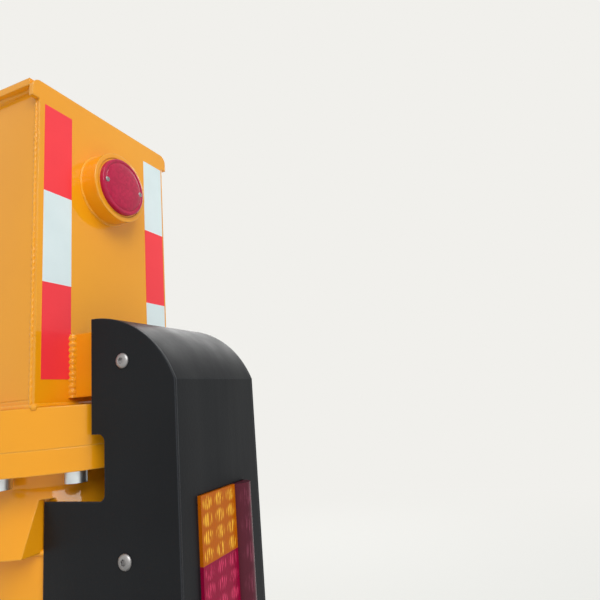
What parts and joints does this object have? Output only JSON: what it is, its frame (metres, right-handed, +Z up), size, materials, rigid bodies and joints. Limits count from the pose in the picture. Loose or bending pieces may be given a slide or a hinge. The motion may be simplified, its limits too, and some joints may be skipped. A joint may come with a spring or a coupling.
{
  "type": "rear swing outrigger of a concrete pump truck",
  "caption": "Box beam on a vertical pivot that swings out from the truck, with its cylinder, and a hydraulic jack leg, tilting foot, lamp guard and tail lamp at its end.",
  "frame": {"origin": "centre of the four chassis bolts, on the bracket's bolted face", "axes": "+X towards the truck's rear, along the folded beam; +Y inwards, towards the truck's middle; +Z up"},
  "size_m": [2.995, 0.655, 1.625],
  "materials": {
    "paint": "gloss",
    "black_paint": "satin",
    "black_plastic": "satin",
    "amber_lens": "gloss",
    "red_lens": "gloss",
    "clear_lens": "gloss",
    "rubber": "matte",
    "zinc": "satin",
    "steel": "satin",
    "chrome": "gloss",
    "bronze": "satin"
  },
  "bodies": {
    "bracket": {"base_plate": "paint", "lug_top": "paint", "lug_bottom": "paint", "gusset_top": "paint", "gusset_bottom": "paint", "pivot_pin": "steel", "cyl_ear_top": "paint", "cyl_ear_bottom": "paint", "cyl_pin": "steel"},
    "arm": {"side_outer": "paint", "side_inner": "paint", "top_plate": "paint", "bottom_plate": "paint", "end_plate": "paint", "hub_tube": "paint", "hub_bush_top": "bronze", "hub_bush_bottom": "bronze", "beam_flange": "paint", "leg_flange": "paint", "jack_collar": "paint", "jack_tube": "paint", "jack_sleeve": "paint", "jack_gland": "steel", "reflector_cup": "paint", "reflector_lens": "red_lens", "guard_stay_upper": "paint", "guard_stay_lower": "paint", "guard_side_outer": "black_paint", "guard_side_inner": "black_paint", "guard_back": "black_paint", "lamp_housing": "black_plastic", "lamp_amber": "amber_lens", "lamp_red": "red_lens", "lamp_clear": "clear_lens", "lamp_strip": "red_lens", "pipe_front": "paint", "pipe_rear": "paint", "jack_hose": "rubber", "hose_port": "zinc", "hose_union": "zinc", "rod_ear_top": "paint", "rod_ear_bottom": "paint", "flange_bolt_1": "zinc", "flange_bolt_2": "zinc", "flange_bolt_3": "zinc", "flange_bolt_4": "zinc", "flange_bolt_5": "zinc", "flange_bolt_6": "zinc", "flange_bolt_7": "zinc", "flange_bolt_8": "zinc"},
    "jack_leg": {"leg_tube": "chrome", "leg_guide": "bronze", "leg_foot": "chrome"},
    "foot": {"foot_ring": "zinc", "foot_sole": "zinc"},
    "cylinder_barrel": {"swing_barrel": "black_paint", "swing_gland": "black_paint"},
    "cylinder_rod": {"swing_rod": "chrome"}
  },
  "joints": [
    {"name": "arm_swing", "type": "hinge", "parent": "bracket", "child": "arm", "pos_m": [0.26, -0.125, 0], "axis": [0, 0, -1], "range_deg": [0, 65]},
    {"name": "jack_slide", "type": "slide", "parent": "arm", "child": "jack_leg", "axis": [0, 0, -1], "range_m": [0, 0.5]},
    {"name": "foot_tilt", "type": "hinge", "parent": "jack_leg", "child": "foot", "pos_m": [2.655, -0.125, -1.081], "axis": [0, 1, 0], "range_deg": [-6, 6]},
    {"name": "cylinder_swing", "type": "hinge", "parent": "bracket", "child": "cylinder_barrel", "pos_m": [0.34, 0.199, 0], "axis": [0, 0, -1], "range_deg": [-1, 60]},
    {"name": "cylinder_stroke", "type": "slide", "parent": "cylinder_barrel", "child": "cylinder_rod", "axis": [0.9956, -0.0933, 0], "range_m": [-0.005, 0.342]}
  ],
  "couplings": [
    {"joint": "cylinder_swing", "follows": "arm_swing", "ratio": 0.886},
    {"joint": "cylinder_stroke", "follows": "arm_swing", "m_per_rad": 0.2971}
  ]
}
